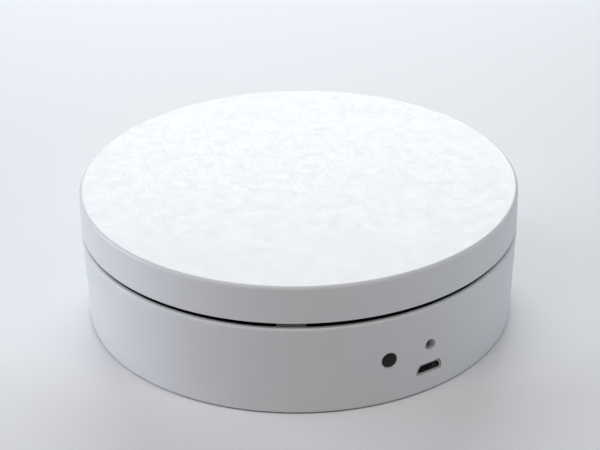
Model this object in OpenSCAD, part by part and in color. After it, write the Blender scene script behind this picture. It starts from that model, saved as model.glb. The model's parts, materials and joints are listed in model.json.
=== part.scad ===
// Motorized turntable display stand: a white platter that a geared stepper motor turns on three
// rollers, over a round base with a button, a status light and a micro-USB charging socket.
// Millimetres, +Z up. The origin is at the middle of the feet, on the surface that they stand on,
// and the socket side faces -Y. Azimuths are measured from -Y towards +X.

/* [Platter] */
// Diameter of the platter
platter_d = 120; // [118:1:124]
// Height of the whole stand
total_h = 38; // [37.8:0.1:39]
// Thickness of the platter's top plate
plate_t = 2.4; // [2.2:0.1:2.6]
// Thickness of the platter's skirt
skirt_t = 2.2; // [1.8:0.1:2.2]
// Radius of the rounded top edge
top_edge_r = 1; // [0.5:0.1:1.4]

/* [Base] */
// Height of the gap between the base and the platter
gap_h = 1.55; // [1.2:0.05:1.8]
// Height of the lip above the surface
lip_z = 26; // [25.8:0.1:26.2]
// How far the wall leans in from the lip to the bottom
draft = 1.1; // [0.9:0.1:1.1]
// Thickness of the wall at the bottom
wall_t = 2; // [1.8:0.1:2.2]
// Radius of the rounded lip
lip_r = 0.9; // [0.8:0.1:1.1]
// How far the feet stand out below the base
foot_out = 0.4; // [0.3:0.1:0.4]

/* [Controls] */
// Azimuth of the button
button_az = -11.9; // [-14:0.1:-11.9]
// Height of the button
button_z = 13.4; // [13.3:0.1:13.8]
// Diameter of the button
button_d = 3.9; // [3.6:0.1:4.2]
// Travel of the button
button_travel = 0.35; // [0.25:0.05:0.4]
// Height of the status light
led_z = 14.4; // [14:0.1:15]
// Diameter of the status light
led_d = 3; // [2.8:0.1:3]
// Width of the micro-USB socket
usb_w = 7.5; // [7.4:0.1:7.6]

/* [Rollers] */
// Azimuth of the first of the three rollers
roller_az = -36.6; // [-37:0.1:-35]
// Radius of a roller
roller_r = 2.66; // [2.64:0.01:2.68]
// Turns of a roller for one turn of the platter
roller_turns = 20; // [20]

/* [Hidden] */
$fn = 64;
eps = 0.01;

// Platter: under its top plate a track ring, ribs, gussets and three bosses for the hub
platter_r = platter_d / 2;
skirt_z = lip_z + gap_h;
plate_z = total_h - plate_t;
skirt_in_r = platter_r - skirt_t;
skirt_edge_r = 0.35;
track_r = roller_r * roller_turns;
track_w = 3;
track_z = 30.4;
rib_count = 8;
rib_h = 2.6;
rib_t = 1.4;
rib_ring_r = 13.2;
rib_sink = 0.5;
gusset_count = 24;
gusset_h = 3.2;
gusset_t = 1.2;
hub_screw_r = 8.4;
hub_angles = [30, 150, 270];
hub_boss_r = 2.8;
hub_boss_h = 3;
hub_pilot_r = 0.97;

// Base shell, deck and bottom cover
base_z = foot_out;
base_top_r = platter_r;
base_bottom_r = base_top_r - draft;
wall_in_r = base_bottom_r - wall_t;
lip_t = 1.3;
rabbet_r = base_top_r - lip_t;
deck_z = 22.7;
deck_t = 2;
deck_top = deck_z + deck_t;
deck_r = rabbet_r - 0.3;
cover_t = 2.4;
cover_top = base_z + cover_t;
cover_r = wall_in_r - 0.3;
post_spot_r = wall_in_r - 6.9;
post_r = 3.2;
post_azimuths = [-120, -60, 60, 120];
post_web_z = 17;
post_web_t = 1.6;
pilot_r = 1.12;
pilot_len = 7;
clear_r = 1.4;
head_recess = 1.3;
head_recess_r = 2.9;
opening_play = 0.15;
foot_spot_r = 47;
foot_r = 4.5;
foot_recess = 1;
foot_azimuths = [0, 90, 180, 270];
wire_slot_az = -49;
wire_slot_r = 53.9;
wire_slot_w = 6.2;
wire_slot_len = 5;
motor_boss_r = 3.4;
motor_boss_h = 3.5;
motor_pilot_r = 1.5;
deck_ring_r = 30;
deck_ring_h = 1.2;
cover_ring_r = 20;
cover_ring_h = 0.5;
ring_t = 1.4;

// Drive hub: a flange under the platter's bosses and a barrel over the motor's shaft
flange_t = 2;
flange_z = plate_z - hub_boss_h - flange_t;
flange_out_r = 11.4;
barrel_r = 5;
barrel_z = deck_top + 0.5;
shaft_play = 0.06;

// Rollers and their brackets
roller_count = 3;
roller_gap = 0.04;
roller_z = track_z - roller_gap - roller_r;
roller_w = 3.4;
roller_axle_r = 0.75;
roller_axle_len = 6.5;
roller_bore_r = 0.82;
bracket_w = 7.5;
bracket_side = 0.8;
bracket_room = 0.3;
bracket_in = track_r - 3.6;
bracket_out = track_r + 3.8;
bracket_top = 29;
bracket_tab_in = 43.4;
bracket_tab_t = 1.5;
bracket_tab_w = 6;
bracket_screw_r = 46;
small_pilot_r = 0.93;
small_clear_r = 1.1;

// Motor: a 28 mm can, its axis 8 mm from the output shaft, with three compound gears
can_x = 8;
can_r = 14;
can_wall = 0.6;
can_z = 3.7;
can_floor_t = 0.8;
motor_face = deck_z;
motor_lid_t = 0.8;
ear_spot = 17.5;
ear_w = 7;
gear_plate_z = 13.2;
gear_plate_t = 0.6;
gear_level = gear_plate_z + gear_plate_t;
pin_r = 0.5;
pin_play = 0.05;
output_r = 2.5;
output_top = motor_face + 10;
output_flat = 3;
flat_len = 6;
shaft_z = 20.4;
neck_r = 1.49;
stub_r = 0.9;
bushing_r = 3.98;
bushing_rim_r = 4.5;
bushing_h = 1.5;
bushing_bore_r = 2.54;
lead_cap_w = 14.6;
lead_cap_z = [5.2, 16.6];
lead_cap_x = 25;

// Stator and rotor
claw_count = 8;
claw_in_r = 4.7;
claw_len = 3.4;
claw_w = 1.4;
claw_plate_t = 0.5;
claw_levels = [4.55, 8.75, 8.8, 13];
stator_out_r = can_r - can_wall - 0.2;
bobbin_levels = [5.1, 9.35];
bobbin_h = 3.1;
bobbin_t = 0.4;
bobbin_in_r = 5.3;
bobbin_hub_r = 6;
bobbin_out_r = 12.9;
winding_r = 12.4;
magnet_z = 5;
magnet_h = 7.6;
magnet_r = 4.4;
rotor_core_r = 1.6;
rotor_foot_z = 4;
rotor_gear_z = [14, 15.5];

// Gear teeth: module of each pair, tooth counts and the teeth's own shape
pressure = 20;
tooth_play = 0.03;
shift = 0.3;
m_first = 0.28;
m_second = 0.35;
m_third = 0.35;
m_output = 0.3;
rotor_teeth = 9;
first_wheel = 32;
first_pinion = 11;
second_wheel = 22;
second_pinion = 9;
third_wheel = 26;
third_pinion = 10;
output_wheel = 31;
flank_steps = 4;
sleeve_r = 1;

// Heights of each gear: wheel from, wheel to, pinion to
first_levels = [14.2, 15.3, 17];
second_levels = [15.8, 16.9, 18.5];
third_levels = [17.3, 18.4, 20.6];
output_gear_z = 19;
output_gear_h = 1.4;

// Places of the gear axes
a_first = m_first * (rotor_teeth + first_wheel) / 2;
a_second = m_second * (first_pinion + second_wheel) / 2;
a_third = m_third * (second_pinion + third_wheel) / 2;
a_output = m_output * (third_pinion + output_wheel) / 2;
rotor_at = [can_x, 0];
output_at = [0, 0];
third_at = a_output * [cos(60), sin(60)];
second_at = third_at + [a_third, 0];
first_at = meet(rotor_at, a_first, second_at, a_second);

// Circuit board and what stands on it
board_t = 1.6;
usb_h = 2.6;
usb_z = 6.15;
usb_front = wall_in_r + 2.05;
usb_len = 5.2;
usb_slant = 0.78;
usb_wall = 0.25;
usb_play = 0.28;
board_z = usb_z + usb_h;
board_top = board_z + board_t;
board_edge_r = wall_in_r - 0.6;
board_left = -25;
board_right = 23;
board_back = -38;
board_holes = [[-21.8, -41.2], [19.2, -49]];
board_post_r = 2.4;
switch_front = wall_in_r - 2.9;
switch_w = 6;
switch_depth = 3.5;
switch_frame = 0.3;
plunger_r = 1.75;
plunger_in = 1.2;
plunger_tip = switch_front + 1.15;
button_tip = wall_in_r + 3;
button_stem_r = 1.2;
button_rim_r = 2.9;
button_rim_t = 0.75;
button_dome_r = 8;
switch_pin = [2.5, 0.3];
led_tip = wall_in_r + 1;
led_back = 4.4 + led_d / 2 - led_tip;
led_pin_x = 1.27;
led_pin_y = 5.5 - wall_in_r;
lead_half = 0.25;
pin_pitch = 1.27;
driver_chip = [[-3.45, -47.9], [0.45, -38]];
charger_chip = [[-19.35, -50.55], [-14.35, -46.65]];
chip_z = [0.3, 1.75];
chip_pin_out = 2.45;
chip_pin_half = 0.5;
small_caps = [[-7, -44], [-7, -41.4], [-23.4, -46], [8.6, -47.4], [12, -47.4]];
can_cap_at = [9.4, -51.2];
motor_plug_x = 10.6;
battery_plug_x = -12.6;
motor_plug_w = 14.8;
battery_plug_w = 7.6;
motor_pitch = 2.5;
battery_pitch = 2;
header_front = -45.4;
header_wall = 0.8;
header_half = 2.9;
plug_front = -43.6;
plug_back = -36.8;
plug_half = 2.05;
plug_z = 13.2;

// Battery
cell_r = 9.15;
cell_len = 65;
cell_y = 35;
cell_z = 12.3;
saddle_x = 19;
saddle_t = 2;
saddle_reach = 10.6;
tab_half = [3, 5];
pad_half = [15, 4.4];

// Wires: routes through hand-set points
wire_r = 0.6;
lead_r = 0.65;
route_steps = 3;
wire_sides = 8;
red_route = [[-32.9, 35, 12.3], [-36, 34.6, 13.5], [-39.6, 34.4, 17], [-43.6, 33.4, 20],
             [-48, 27.4, 20.8], [-51.8, 18.8, 20.8], [-54.8, 5, 20.8], [-54.2, -9.6, 20.8],
             [-51.8, -18.8, 20.8], [-47.4, -27.3, 21], [-43, -32.2, 21.7],
             [-39.4, -35.7, 21.7], [-35.2, -37.6, 20.8], [-29.6, -36.6, 18],
             [-22.6, -31, 14.6], [-16.6, -29.6, 13.2], [-13.6, -32.6, 13.2],
             [-13.6, -37.2, 13.2]];
black_route = [[32.9, 35, 12.3], [34.2, 34.8, 12.3], [35.8, 31.6, 11.6], [34, 26.6, 9.4],
               [29.4, 24.4, 7.4], [18, 24.2, 6.6], [0, 24.2, 6.6], [-18, 24.2, 6.6],
               [-28, 24.4, 7], [-34.6, 26.2, 8.6], [-39.6, 31, 13], [-43.8, 32.8, 17.4],
               [-48, 27.4, 18.9], [-51.8, 18.8, 18.9], [-54.8, 5, 18.9], [-54.2, -9.6, 18.9],
               [-51.8, -18.8, 18.9], [-47.7, -27.5, 18.9], [-42, -33.6, 18.8],
               [-34, -35.6, 17.4], [-26, -31.8, 13.6], [-17, -26.4, 11.6],
               [-11.8, -29.6, 12.8], [-11.6, -33, 13.2], [-11.6, -37.2, 13.2]];
bundle_route = [[25.05, 0, 7], [26.5, 0, 7], [28.5, 0, 7], [33, -3.4, 7.4], [34.4, -10, 8.4],
                [31, -18, 10], [23, -24, 11.8], [14.2, -28, 13], [10.6, -32, 13.2],
                [10.6, -37.2, 13.2]];
bundle_side = [[0, 1.5], [0, 1.5], [0, 1.5], [1.1, 1.1], [1.5, 0], [1.3, -0.8], [0.9, -1.3],
               [1.6, -1.1], [2.4, -0.4], [2.5, 0]];

function unit(v) = v / norm(v);
function dir(a, b) = atan2(b[1] - a[1], b[0] - a[0]);

// The point at distance ra from a and rb from b, on the left of the way from b to a
function meet(a, ra, b, rb) =
    let (d = norm(b - a),
         along = (ra * ra - rb * rb + d * d) / (2 * d),
         off = sqrt(ra * ra - along * along),
         u = (b - a) / d)
    a + along * u + off * [u[1], -u[0]];

// Phase of a gear with nb teeth at bearing "way" from a gear with na teeth at phase "a"
function mesh_phase(a, na, nb, way) = way + 180 - (a - way) * na / nb + 180 / nb;

// Involute flank: the angle that the base circle unwinds at a pressure angle
function inv(a) = tan(a) * 180 / PI - a;

// Half the angle that a tooth covers at radius r
function half_tooth(r, n, m, x) =
    let (rp = n * m / 2)
    90 / n + (2 * x * tan(pressure) / n - tooth_play / 2 / rp) * 180 / PI
    + inv(pressure) - inv(acos(min(1, rp * cos(pressure) / r)));

function gear_outline(n, m, x) =
    let (rp = n * m / 2,
         r_root = rp - (1.25 - x) * m,
         r_tip = rp + (1 + x) * m,
         r_low = max(rp * cos(pressure), r_root),
         rise = [for (k = [0 : flank_steps - 1]) r_low + (r_tip - r_low) * k / (flank_steps - 1)],
         side = [for (r = rise) [r, half_tooth(r, n, m, x)]],
         tooth = concat([[r_root, -side[0][1]]], [for (s = side) [s[0], -s[1]]],
                        [for (k = [flank_steps - 1 : -1 : 0]) side[k]], [[r_root, side[0][1]]]))
    [for (i = [0 : n - 1]) for (t = tooth) t[0] * [cos(360 * i / n + t[1]), sin(360 * i / n + t[1])]];

// A smooth curve through a list of points
function curve_point(p, i, t) =
    let (a = p[max(i - 1, 0)], b = p[i], c = p[i + 1], d = p[min(i + 2, len(p) - 1)])
    0.5 * (2 * b + (c - a) * t + (2 * a - 5 * b + 4 * c - d) * t * t
           + (3 * b - a - 3 * c + d) * t * t * t);
function curve(p, steps) =
    concat([for (i = [0 : len(p) - 2]) for (k = [0 : steps - 1]) curve_point(p, i, k / steps)],
           [p[len(p) - 1]]);

module at_az(az, r = 0, z = 0) {
    rotate([0, 0, az]) translate([0, -r, z]) children();
}

module tube(r_out, r_in, h, z = 0) {
    translate([0, 0, z]) difference() {
        cylinder(r = r_out, h = h);
        translate([0, 0, -1]) cylinder(r = r_in, h = h + 2);
    }
}

module bar(from, to) {
    translate(from) cube(to - from);
}

// A section with its corner at the origin cut round: taken away from an outline
module corner_cut(r) {
    difference() {
        translate([-eps, -eps]) square(r + eps);
        translate([r, r]) circle(r);
    }
}

// A self-tapping pan-head screw, head up, its seat at z = 0
module screw(head_r, head_h, shank_r, len) {
    difference() {
        union() {
            cylinder(r = head_r, h = head_h * 0.6);
            translate([0, 0, head_h * 0.6]) cylinder(r1 = head_r, r2 = head_r * 0.7, h = head_h * 0.4);
            translate([0, 0, -len * 0.85]) cylinder(r = shank_r, h = len * 0.85 + eps);
            translate([0, 0, -len]) cylinder(r1 = shank_r * 0.3, r2 = shank_r, h = len * 0.15);
        }
        for (turn = [0, 90])
            rotate([0, 0, turn]) translate([-head_r * 0.55, -head_r * 0.12, head_h * 0.45])
                cube([head_r * 1.1, head_r * 0.24, head_h]);
    }
}

module gear_teeth(n, m, x, phase, h, z) {
    translate([0, 0, z]) rotate([0, 0, phase]) linear_extrude(h) polygon(gear_outline(n, m, x));
}

// A wheel and its pinion in one piece on a sleeve, with a bore for its pin
module compound_gear(at, wheel, pinion, levels, sleeve_z) {
    translate(at) difference() {
        union() {
            gear_teeth(wheel[0], wheel[1], -shift, wheel[2], levels[1] - levels[0], levels[0]);
            gear_teeth(pinion[0], pinion[1], shift, 0, levels[2] - levels[1] + eps, levels[1] - eps);
            translate([0, 0, sleeve_z]) cylinder(r = sleeve_r, h = levels[0] - sleeve_z + eps);
        }
        translate([0, 0, sleeve_z - 1]) cylinder(r = pin_r + pin_play, h = levels[2] - sleeve_z + 2);
    }
}

// A round wire of eight sides along a smooth curve
module wire(route, r) {
    path = curve(route, route_steps);
    last = len(path) - 1;
    sides = wire_sides;
    rings = [for (i = [0 : last])
        let (t = unit(path[min(i + 1, last)] - path[max(i - 1, 0)]),
             s = unit(cross(t, [0, 0, 1])),
             u = cross(s, t))
        for (k = [0 : sides - 1]) path[i] + r * (cos(360 * k / sides) * s + sin(360 * k / sides) * u)];
    skin = [for (i = [0 : last - 1]) for (k = [0 : sides - 1])
        let (a = i * sides + k, b = i * sides + (k + 1) % sides)
        each [[a, b, b + sides], [a, b + sides, a + sides]]];
    start = [for (k = [sides - 1 : -1 : 0]) k];
    end = [for (k = [0 : sides - 1]) last * sides + k];
    polyhedron(points = rings, faces = concat([start], skin, [end]));
}

module platter_section() {
    difference() {
        translate([0, skirt_z]) square([platter_r, total_h - skirt_z]);
        translate([-1, skirt_z - 1]) square([skirt_in_r + 1, plate_z - skirt_z + 1]);
        translate([platter_r, total_h]) rotate(180) corner_cut(top_edge_r);
        translate([platter_r, skirt_z]) rotate(90) corner_cut(skirt_edge_r);
        translate([skirt_in_r, skirt_z]) corner_cut(skirt_edge_r);
    }
}

module platter() {
    color("white") difference() {
        union() {
            rotate_extrude() platter_section();
            tube(track_r + track_w / 2, track_r - track_w / 2, plate_z - track_z + eps, track_z);
            tube(rib_ring_r, rib_ring_r - rib_t, rib_h + eps, plate_z - rib_h);
            for (k = [0 : rib_count - 1])
                rotate([0, 0, 360 / rib_count * (k + 0.5)])
                    bar([rib_ring_r - rib_sink, -rib_t / 2, plate_z - rib_h],
                        [track_r - track_w / 2 + rib_sink, rib_t / 2, plate_z + eps]);
            for (k = [0 : gusset_count - 1])
                rotate([0, 0, 360 / gusset_count * k])
                    bar([track_r + track_w / 2 - rib_sink, -gusset_t / 2, plate_z - gusset_h],
                        [skirt_in_r + rib_sink, gusset_t / 2, plate_z + eps]);
            for (a = hub_angles)
                rotate([0, 0, a]) translate([hub_screw_r, 0, plate_z - hub_boss_h])
                    cylinder(r = hub_boss_r, h = hub_boss_h + eps);
        }
        for (a = hub_angles)
            rotate([0, 0, a]) translate([hub_screw_r, 0, plate_z - hub_boss_h - 1])
                cylinder(r = hub_pilot_r, h = hub_boss_h + 2.4);
    }
}

module drive_hub() {
    flat_z = output_top - flat_len + 0.2;
    color("#26272a") difference() {
        union() {
            translate([0, 0, flange_z]) cylinder(r = flange_out_r, h = flange_t);
            translate([0, 0, barrel_z]) cylinder(r = barrel_r, h = flange_z - barrel_z + eps);
            for (a = hub_angles)
                rotate([0, 0, a + 60])
                    bar([4.5, -rib_t / 2, flange_z - 2.4], [9.5, rib_t / 2, flange_z + eps]);
        }
        translate([0, 0, barrel_z - 1]) cylinder(r = output_r + shaft_play, h = flat_z - barrel_z + 1);
        translate([0, 0, barrel_z]) intersection() {
            cylinder(r = output_r + shaft_play, h = 12);
            bar([-4, -output_flat / 2 - shaft_play, -1], [4, output_flat / 2 + shaft_play, 13]);
        }
        for (a = hub_angles)
            rotate([0, 0, a]) translate([hub_screw_r, 0, flange_z - 1])
                cylinder(r = small_clear_r, h = flange_t + 2);
    }
}

module hub_screws() {
    color("silver") for (a = hub_angles)
        rotate([0, 0, a]) translate([hub_screw_r, 0, flange_z]) rotate([180, 0, 0])
            screw(2, 1.3, 0.95, 6);
}

module usb_outline(grow) {
    w = usb_w / 2 + grow;
    top_w = w - usb_slant;
    polygon([[-w, -grow], [w, -grow], [w, usb_h / 2], [top_w, usb_h + grow],
             [-top_w, usb_h + grow], [-w, usb_h / 2]]);
}

module shell_section() {
    ring_r = base_top_r - lip_r;
    ring_z = lip_z - lip_r;
    difference() {
        union() {
            polygon([[wall_in_r, base_z], [base_bottom_r, base_z], [base_top_r, ring_z],
                     [wall_in_r, ring_z]]);
            translate([ring_r, ring_z]) circle(lip_r);
            translate([rabbet_r, ring_z]) square([ring_r - rabbet_r, lip_r]);
        }
        translate([wall_in_r - 1, deck_z]) square([rabbet_r - wall_in_r + 1, 5]);
        translate([base_bottom_r, base_z]) rotate(90) corner_cut(0.3);
    }
}

module base_shell() {
    color("white") difference() {
        union() {
            rotate_extrude() shell_section();
            for (a = post_azimuths)
                at_az(a) {
                    translate([0, -post_spot_r, cover_top]) cylinder(r = post_r, h = deck_z - cover_top);
                    bar([-post_web_t / 2, -wall_in_r - 0.6, cover_top],
                        [post_web_t / 2, -post_spot_r - 2, post_web_z]);
                }
        }
        for (a = post_azimuths)
            at_az(a, post_spot_r, cover_top) {
                translate([0, 0, -1]) cylinder(r = pilot_r, h = pilot_len + 1);
                translate([0, 0, deck_z - cover_top - pilot_len])
                    cylinder(r = pilot_r, h = pilot_len + 1);
            }
        translate([0, 1 - wall_in_r, usb_z]) rotate([90, 0, 0]) linear_extrude(6)
            usb_outline(usb_play);
        translate([0, 1 - wall_in_r, led_z]) rotate([90, 0, 0])
            cylinder(r = led_d / 2 + 0.1, h = 6);
        at_az(button_az, wall_in_r - 1, button_z) rotate([90, 0, 0])
            cylinder(r = button_d / 2 + opening_play, h = 6);
    }
}

module deck() {
    color("#1b1b1d") difference() {
        union() {
            translate([0, 0, deck_z]) cylinder(r = deck_r, h = deck_t);
            for (s = [-1, 1])
                translate([can_x, s * ear_spot, deck_top - eps])
                    cylinder(r = motor_boss_r, h = motor_boss_h);
            for (k = [0 : roller_count - 1])
                at_az(roller_az + 360 / roller_count * k, bracket_screw_r, deck_z - 1.9)
                    cylinder(r = 2.3, h = 1.9 + eps);
            tube(deck_ring_r, deck_ring_r - ring_t, deck_ring_h + eps, deck_top - eps);
        }
        translate([0, 0, deck_z - 1]) cylinder(r = bushing_rim_r + 0.4, h = deck_t + 2);
        for (s = [-1, 1])
            translate([can_x, s * ear_spot, deck_z - 1])
                cylinder(r = motor_pilot_r, h = deck_t + motor_boss_h + 0.5);
        for (k = [0 : roller_count - 1])
            at_az(roller_az + 360 / roller_count * k, bracket_screw_r, deck_z - 1.5)
                cylinder(r = small_pilot_r, h = 5);
        for (a = post_azimuths)
            at_az(a, post_spot_r, deck_z - 1) cylinder(r = clear_r, h = deck_t + 2);
        at_az(wire_slot_az, wire_slot_r, deck_z - 1) {
            translate([-wire_slot_len / 2, -wire_slot_w / 2, 0])
                cube([wire_slot_len, wire_slot_w, deck_t + 2]);
            for (s = [-1, 1])
                translate([s * wire_slot_len / 2, 0, 0]) cylinder(r = wire_slot_w / 2, h = deck_t + 2);
        }
    }
}

module deck_screws() {
    color("silver") for (a = post_azimuths)
        at_az(a, post_spot_r, deck_top) screw(2.5, 1.4, 1.1, 7.5);
}

module battery_saddles() {
    difference() {
        for (s = [-1, 1])
            bar([s * saddle_x - saddle_t / 2, cell_y - saddle_reach, cover_top - eps],
                [s * saddle_x + saddle_t / 2, cell_y + saddle_reach, cell_z + 1]);
        translate([-cell_len / 2, cell_y, cell_z]) rotate([0, 90, 0])
            cylinder(r = cell_r + 0.05, h = cell_len);
        bar([-cell_len / 2, cell_y - saddle_reach - 1, 5.3],
            [cell_len / 2, cell_y - saddle_reach + 1.3, cell_z + 2]);
    }
}

module bottom_cover() {
    color("white") difference() {
        union() {
            translate([0, 0, base_z]) cylinder(r = cover_r, h = cover_t);
            for (p = board_holes)
                translate([p[0], p[1], cover_top - eps])
                    cylinder(r = board_post_r, h = board_z - cover_top + eps);
            battery_saddles();
            tube(cover_ring_r, cover_ring_r - ring_t, cover_ring_h + eps, cover_top - eps);
        }
        for (p = board_holes)
            translate([p[0], p[1], board_z - 5]) cylinder(r = small_pilot_r, h = 6);
        for (a = post_azimuths)
            at_az(a, post_spot_r, base_z - 1) {
                cylinder(r = clear_r, h = cover_t + 2);
                cylinder(r = head_recess_r, h = head_recess + 1);
            }
        for (a = foot_azimuths)
            at_az(a, foot_spot_r, base_z - 1) cylinder(r = foot_r + 0.05, h = foot_recess + 1);
    }
}

module cover_screws() {
    color("silver") for (a = post_azimuths)
        at_az(a, post_spot_r, base_z + head_recess) rotate([180, 0, 0]) screw(2.5, 1.1, 1.1, 7.5);
}

module rubber_feet() {
    color("#3a3a3c") for (a = foot_azimuths)
        at_az(a, foot_spot_r) rotate_extrude() difference() {
            square([foot_r, foot_out + foot_recess]);
            translate([foot_r, 0]) rotate(90) corner_cut(0.25);
        }
}

module roller_brackets() {
    half_w = bracket_w / 2;
    room = roller_w / 2 + bracket_room;
    color("#d9d9d6") for (k = [0 : roller_count - 1])
        at_az(roller_az + 360 / roller_count * k) difference() {
            union() {
                bar([-half_w, -bracket_out, deck_top], [half_w, -bracket_in, bracket_top]);
                bar([-bracket_tab_w / 2, -bracket_in - eps, deck_top],
                    [bracket_tab_w / 2, -bracket_tab_in, deck_top + bracket_tab_t]);
            }
            bar([bracket_side - half_w, -track_r - room, deck_top - 1],
                [half_w - bracket_side, -track_r + room, bracket_top + 1]);
            translate([0, 1 - bracket_in, roller_z]) rotate([90, 0, 0])
                cylinder(r = roller_axle_r + 0.01, h = bracket_out - bracket_in + 0.5);
            translate([0, -bracket_screw_r, deck_top - 1]) cylinder(r = small_clear_r, h = 4);
        }
}

module bracket_screws() {
    color("silver") for (k = [0 : roller_count - 1])
        at_az(roller_az + 360 / roller_count * k, bracket_screw_r, deck_top + bracket_tab_t)
            screw(1.9, 1.2, 0.9, 4.6);
}

module roller_axles() {
    color("silver") for (k = [0 : roller_count - 1])
        at_az(roller_az + 360 / roller_count * k, bracket_in + 0.3, roller_z) rotate([90, 0, 0])
            cylinder(r = roller_axle_r, h = roller_axle_len);
}

module support_roller(k) {
    groove_in = 1.5;
    groove_w = 0.65;
    groove_t = 0.4;
    color("#c9cacb")
        at_az(roller_az + 360 / roller_count * k, track_r - roller_w / 2, roller_z)
            rotate([90, 0, 0]) rotate_extrude() difference() {
                translate([roller_bore_r, 0]) square([roller_r - roller_bore_r, roller_w]);
                translate([roller_r, 0]) rotate(90) corner_cut(0.25);
                translate([roller_r, roller_w]) rotate(180) corner_cut(0.25);
                translate([groove_in, -1]) square([groove_w, groove_t + 1]);
                translate([groove_in, roller_w - groove_t]) square([groove_w, groove_t + 1]);
            }
}

module motor_can() {
    color("silver") translate([can_x, 0, can_z]) difference() {
        cylinder(r = can_r, h = motor_face - motor_lid_t - can_z);
        translate([0, 0, can_floor_t]) cylinder(r = can_r - can_wall, h = 30);
        translate([0, 0, 0.2]) cylinder(r = pin_r + pin_play, h = 2);
        bar([can_r - 3, -3.8, 2], [can_r + 1, 3.8, 5.4]);
    }
}

module motor_cover() {
    color("silver") translate([can_x, 0, motor_face - motor_lid_t]) difference() {
        union() {
            cylinder(r = can_r, h = motor_lid_t);
            bar([-ear_w / 2, -ear_spot, 0], [ear_w / 2, ear_spot, motor_lid_t]);
            for (s = [-1, 1]) translate([0, s * ear_spot, 0]) cylinder(r = ear_w / 2, h = motor_lid_t);
        }
        for (s = [-1, 1]) translate([0, s * ear_spot, -1]) cylinder(r = 2.1, h = 3);
        translate([-can_x, 0, -1]) cylinder(r = 4, h = 3);
    }
}

module shaft_bushing() {
    color("goldenrod") difference() {
        union() {
            translate([0, 0, motor_face - bushing_h]) cylinder(r = bushing_r, h = bushing_h * 2);
            translate([0, 0, motor_face + eps]) cylinder(r = bushing_rim_r, h = bushing_h - eps);
        }
        translate([0, 0, motor_face - 3]) cylinder(r = bushing_bore_r, h = 6);
    }
}

// One ring of claw poles: a flat plate with teeth that stand up along the rotor
module claw_plate(z, up, phase) {
    translate([can_x, 0, z]) rotate([up ? 0 : 180, 0, 0]) {
        tube(stator_out_r, claw_in_r, claw_plate_t);
        for (k = [0 : claw_count - 1])
            rotate([0, 0, 360 / claw_count * k + phase])
                bar([claw_in_r + 0.02, -claw_w / 2, claw_plate_t - 0.1],
                    [claw_in_r + 0.5, claw_w / 2, claw_len]);
    }
}

module stator_plates() {
    pitch = 360 / claw_count;
    color("lightgray") {
        claw_plate(claw_levels[0], true, 0);
        claw_plate(claw_levels[1], false, pitch / 2);
        claw_plate(claw_levels[2], true, pitch / 4);
        claw_plate(claw_levels[3], false, pitch / 4);
    }
}

module coil_bobbins() {
    color("ivory") for (z = bobbin_levels)
        translate([can_x, 0, z]) {
            tube(bobbin_hub_r, bobbin_in_r, bobbin_h);
            tube(bobbin_out_r, bobbin_in_r, bobbin_t);
            tube(bobbin_out_r, bobbin_in_r, bobbin_t, bobbin_h - bobbin_t);
        }
}

module coil_windings() {
    color("#a5562a") for (z = bobbin_levels)
        translate([can_x, 0, z + bobbin_t + 0.02])
            tube(winding_r, bobbin_hub_r + 0.02, bobbin_h - 2 * bobbin_t - 0.04);
}

module rotor_magnet() {
    color("#333333") translate([can_x, 0, magnet_z]) tube(magnet_r, rotor_core_r, magnet_h);
}

module rotor_pinion() {
    color("white") translate([can_x, 0, 0]) {
        translate([0, 0, magnet_z]) cylinder(r = rotor_core_r - 0.02, h = magnet_h);
        translate([0, 0, rotor_foot_z]) cylinder(r = pin_r, h = rotor_gear_z[0] + 0.3 - rotor_foot_z);
        gear_teeth(rotor_teeth, m_first, shift, 0, rotor_gear_z[1] - rotor_gear_z[0], rotor_gear_z[0]);
    }
}

module gear_plate() {
    pins = [first_at, second_at, third_at];
    color("silver") {
        difference() {
            translate([can_x, 0, gear_plate_z])
                cylinder(r = can_r - can_wall - 0.05, h = gear_plate_t);
            for (p = pins)
                translate([p[0], p[1], gear_plate_z - 1]) cylinder(r = pin_r + 0.005, h = 3);
            translate([can_x, 0, gear_plate_z - 1]) cylinder(r = pin_r + pin_play, h = 3);
            translate([0, 0, gear_plate_z - 1]) cylinder(r = stub_r + pin_play, h = 3);
        }
        for (p = pins)
            translate([p[0], p[1], gear_plate_z + 0.05])
                cylinder(r = pin_r, h = motor_face - motor_lid_t - gear_plate_z - 0.1);
    }
}

module first_gear() {
    color("ivory") compound_gear(first_at,
        [first_wheel, m_first, mesh_phase(0, rotor_teeth, first_wheel, dir(rotor_at, first_at))],
        [first_pinion, m_second], first_levels, gear_level + 0.1);
}

module second_gear() {
    color("ivory") compound_gear(second_at,
        [second_wheel, m_second, mesh_phase(0, first_pinion, second_wheel, dir(first_at, second_at))],
        [second_pinion, m_third], second_levels, gear_level + 0.1);
}

module third_gear() {
    color("ivory") compound_gear(third_at,
        [third_wheel, m_third, mesh_phase(0, second_pinion, third_wheel, dir(second_at, third_at))],
        [third_pinion, m_output], third_levels, gear_level + 0.1);
}

module output_gear() {
    phase = mesh_phase(0, third_pinion, output_wheel, dir(third_at, output_at));
    color("goldenrod") difference() {
        gear_teeth(output_wheel, m_output, -shift, phase, output_gear_h, output_gear_z);
        translate([0, 0, output_gear_z - 1]) cylinder(r = neck_r + 0.01, h = output_gear_h + 2);
    }
}

module output_shaft() {
    color("silver") difference() {
        union() {
            translate([0, 0, gear_plate_z + 0.1]) cylinder(r = stub_r, h = 8);
            translate([0, 0, output_gear_z]) cylinder(r = neck_r, h = 2);
            translate([0, 0, shaft_z]) cylinder(r = output_r, h = output_top - shaft_z);
        }
        for (s = [-1, 1])
            translate([-4, s * (output_flat / 2 + 2) - 2, output_top - flat_len]) cube([8, 4, 8]);
    }
}

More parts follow.
